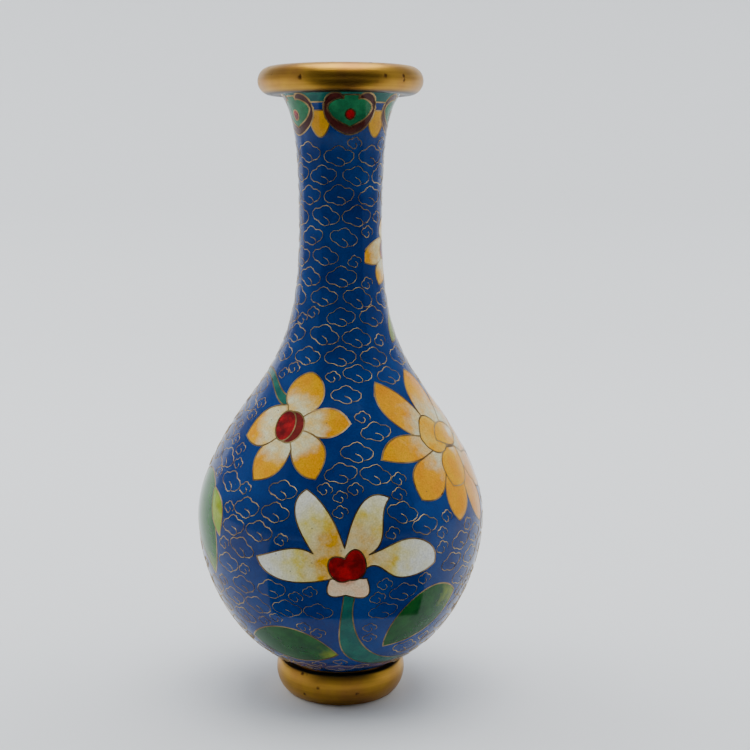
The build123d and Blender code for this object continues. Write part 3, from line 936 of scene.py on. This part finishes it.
# Blossoms at the left shoulder, on the neck and at the back: cream petals with golden tips around an
# oval red heart and its darker crescent. The front one hangs from a teal stem.
crescent_red = enamel("crescent_red", (0.07, 0.006, 0.006), (0.2, 0.015, 0.01))
for prefix, place, reach in (
    ("blossom", (-29.0, 70.5), 8.2),
    ("neck_blossom", (80.0, 109.5), 5.4),
    ("back_blossom", (-152.0, 66.0), 8.6),
):
    petals = enamel(
        prefix + "_petal", (0.62, 0.25, 0.0), (0.68, 0.36, 0.0), drift_scale=300.0, pit_share=0.14,
        tones=[(skin_place(*place), reach, 3.4, (0.62, 0.61, 0.38))],
    )
    coloured(prefix + "_petals", petals)
    coloured(prefix + "_heart", dark_red)
coloured("blossom_crescent", crescent_red)
coloured("back_blossom_crescent", crescent_red)
coloured("blossom_stem", teal)

# Chrysanthemum on the right: orange-yellow pointed petals that fade to a greyish white around a cream
# core with a yellow eye.
mum_at = (58.0, 66.0)
mum_orange = enamel(
    "mum_orange", (0.62, 0.235, 0.0), (0.68, 0.34, 0.0), drift_scale=240.0, pit_share=0.16,
    tones=[(skin_place(*mum_at, 1, 1), 9.5, 5.5, (0.52, 0.54, 0.36))],
)
mum_core = enamel(
    "mum_core", (0.62, 0.28, 0.0), (0.62, 0.46, 0.10), drift_scale=320.0,
    tones=[(skin_place(*mum_at, -1, -4), 1.0, 2.4, (0.68, 0.60, 0.42))],
)
mum_inner = enamel(
    "mum_inner", (0.62, 0.26, 0.0), (0.66, 0.38, 0.004), drift_scale=320.0,
    tones=[(skin_place(*mum_at, 4, -2.5), 1.0, 2.6, (0.66, 0.64, 0.50))],
)
mum_yellow = enamel(
    "mum_yellow", (0.62, 0.28, 0.0), (0.66, 0.40, 0.01), drift_scale=320.0,
    tones=[(skin_place(*mum_at, 7.5, 1), 1.6, 2.4, (0.64, 0.64, 0.52))],
)
coloured("chrysanthemum_outer_petals", mum_orange)
coloured("chrysanthemum_inner_petal", mum_inner)
coloured("chrysanthemum_core", mum_core)
coloured("chrysanthemum_eye", mum_yellow)

# Leaves: two low ones beside the orchid's root and two at the back, dark green that turns yellow-green
# at the tip, a two-tone one at the left, and an olive one on the neck.
low_green = ((0.003, 0.048, 0.010), (0.012, 0.095, 0.014))
side_green = ((0.006, 0.075, 0.010), (0.03, 0.14, 0.014))
side_light = ((0.16, 0.30, 0.03), (0.34, 0.42, 0.05))
olive = ((0.10, 0.15, 0.02), (0.2, 0.26, 0.04))
for name, slot, (base, drift), tip in (
    ("left_leaf", "leaf_enamel", low_green, skin_place(-28, 16, 11, 1)),
    ("right_leaf", "leaf_enamel", low_green, skin_place(33, 22, 11, 9)),
    ("back_left_leaf", "leaf_enamel", low_green, skin_place(176, 24, 11, 1)),
    ("back_right_leaf", "leaf_enamel", low_green, skin_place(-130, 28, 11, 9)),
    ("side_leaf_back", "leaf_enamel", side_green, skin_place(-75, 48, 7, -13)),
    ("side_leaf_front", "light_leaf_enamel", side_light, skin_place(-75, 48, 12, 2)),
    ("neck_leaf", "leaf_enamel", olive, skin_place(75, 93, 4, 2)),
):
    leaf = enamel(
        name + "_green", base, drift, drift_scale=300.0, pit_share=0.14,
        tones=[(tip, 2.4, 4.8, (0.22, 0.27, 0.006))],
    )
    coloured(name, leaf)

# Band under the rim: brown scrolled lappets with a green field and a red dot, yellow drops between
# them, and a teal strip above.
band_green = enamel("band_green", (0.006, 0.09, 0.035), (0.02, 0.19, 0.07), drift_scale=330.0)
band_brown = enamel("band_brown", (0.035, 0.006, 0.006), (0.08, 0.018, 0.012))
band_yellow = enamel("band_yellow", (0.52, 0.23, 0.002), (0.62, 0.34, 0.006))
coloured("band_fields", band_green)
coloured("band_scrolls", band_brown)
coloured("band_dots", dark_red)
coloured("band_drops", band_yellow)
coloured("band_strip", teal)


# Inside: counter-enamel on the wall and under the foot, sprayed on thin so that the copper does not
# warp in the kiln. The copper body itself is three raised sections, soldered in stepped laps.
def smoothed(node, material, sharp_angle):
    """The CAD node, merged, shaded smooth except over its sharp edges."""
    bm = bmesh.new()
    bm.from_mesh(nodes[node].data)
    bmesh.ops.remove_doubles(bm, verts=bm.verts, dist=merge_distance)
    mesh = bpy.data.meshes.new(node + "_smooth")
    bm.to_mesh(mesh)
    bm.free()
    mesh.materials.append(material)
    for face in mesh.polygons:
        face.use_smooth = True
    mesh.set_sharp_from_angle(angle=math.radians(sharp_angle))
    piece = bpy.data.objects.new(node + "_smooth", mesh)
    bpy.context.collection.objects.link(piece)
    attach(piece, "root")
    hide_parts(node)
    return piece


inner_edge = 40
counter = enamel("counter_enamel", (0.02, 0.09, 0.20), (0.03, 0.16, 0.28), pit_share=0.3, roughness=0.22)
for name in ("lining_enamel", "base_enamel"):
    smoothed(name, counter, inner_edge)
copper = brass("copper_sheet", (0.72, 0.30, 0.16), (0.55, 0.22, 0.12), stain_share=0.3, roughness=0.35)
for name in ("lower_bowl", "shoulder_dome", "neck_tube"):
    nodes[name].data.materials.clear()
    nodes[name].data.materials.append(copper)


# Mouth rim: a hollow bead of brass, rolled over the lip on a short collar, turned, gilded and worn,
# with a slightly uneven roll and dark nicks.
def arc_through(a, b, c, steps):
    """Points along the arc through three points of a profile."""
    (ax, ay), (bx, by), (cx, cy) = a, b, c
    turn = 2 * (ax * (by - cy) + bx * (cy - ay) + cx * (ay - by))
    aa, bb, cc = ax**2 + ay**2, bx**2 + by**2, cx**2 + cy**2
    ux = (aa * (by - cy) + bb * (cy - ay) + cc * (ay - by)) / turn
    uy = (aa * (cx - bx) + bb * (ax - cx) + cc * (bx - ax)) / turn
    radius = math.hypot(ax - ux, ay - uy)
    first = math.atan2(ay - uy, ax - ux)
    middle = (math.atan2(by - uy, bx - ux) - first) % (2 * math.pi)
    last = (math.atan2(cy - uy, cx - ux) - first) % (2 * math.pi)
    if middle > last:
        last -= 2 * math.pi
    return [
        (ux + radius * math.cos(first + last * i / steps), uy + radius * math.sin(first + last * i / steps))
        for i in range(steps + 1)
    ]


ring_facets, ring_uneven, ring_edge = 240, 0.012, 50
ring_waves = ((3, 1.0, 0.0, 1.0), (7, 0.6, 1.3, 0.0), (17, 0.4, 0.0, 2.0))


def turned_ring(name, profile, material):
    """A ring turned from a closed profile in millimetres. Its outside is uneven by three waves, each
    with its count around the ring, its share, its start and its climb with the height."""
    vertices, faces = [], []
    count = len(profile)
    for i in range(ring_facets):
        angle = 2 * math.pi * i / ring_facets
        for radius, height in profile:
            wave = sum(w * math.sin(n * angle + start + climb * height) for n, w, start, climb in ring_waves)
            reach = (radius - ring_uneven * (1 + wave / 2)) / 1000
            vertices.append((reach * math.sin(angle), -reach * math.cos(angle), height / 1000))
    for i in range(ring_facets):
        for j in range(count):
            k = (j + 1) % count
            n = (i + 1) % ring_facets
            faces.append((i * count + j, n * count + j, n * count + k, i * count + k))
    ring = mesh_object(name, vertices, faces, [material])
    bm = bmesh.new()
    bm.from_mesh(ring.data)
    bmesh.ops.recalc_face_normals(bm, faces=bm.faces)
    bm.to_mesh(ring.data)
    bm.free()
    for face in ring.data.polygons:
        face.use_smooth = True
    ring.data.set_sharp_from_angle(angle=math.radians(ring_edge))
    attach(ring, "root")
    return ring


# The rim's brass carries painted shade under the rolled bead, below 145.6 mm and fading out by 146.3 mm; the
# foot, which shares this brass, is left clean.
rim_brass = brass(
    "rim_brass", (0.50, 0.27, 0.035), (0.40, 0.19, 0.04), stain_share=0.5, streak_scale=900.0, roughness=0.3,
    relief=0.00009, bead_shade_heights=(0.1456, 0.1463),
)
bead_centre, bead_radius = (16.2, 148.7), 3.3
bead_start, bead_step, bead_points = 156, 9, 32
bead_angles = [math.radians(bead_start - bead_step * i) for i in range(bead_points)]
bead = [
    (bead_centre[0] + bead_radius * math.cos(angle), bead_centre[1] + bead_radius * math.sin(angle))
    for angle in bead_angles
]
collar_foot = [(14.3, 146.0), (12.2, 146.0), (12.2, 147.2), (12.2, 148.4)]
collar_lip = [(12.23, 149.3), (12.4, 149.75), (12.75, 150.0)]
rim = turned_ring("rolled_rim", bead + collar_foot + collar_lip, rim_brass)
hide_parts("mouth_rim")

# Foot ring: a band of the same brass, rolled out to a soft bulge, with a flange and a collar that is
# soldered under the bowl.
foot_outer = arc_through((13.5, 0.0), (15.9, 4.6), (15.3, 8.2), 28)
foot_inner = arc_through((14.1, 7.0), (14.7, 4.6), (12.3, 0.0), 20)
foot_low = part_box("base_enamel")[1].z * 1000
foot_collar = [(15.2, 8.15), (15.0, 8.2), (13.35, 8.2), (13.3, foot_low), (12.1, foot_low), (12.1, 7.0)]
foot_edge = [(12.5, 0.0), (13.3, 0.0), (13.45, 0.05)]
foot_profile = foot_outer[1:-1] + foot_collar + foot_inner + foot_edge
foot = turned_ring("rolled_foot", foot_profile, rim_brass)
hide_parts("foot_ring")

visual_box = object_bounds()
sizes = {"cad": [list(corner) for corner in cad_box], "visual": [list(corner) for corner in visual_box]}
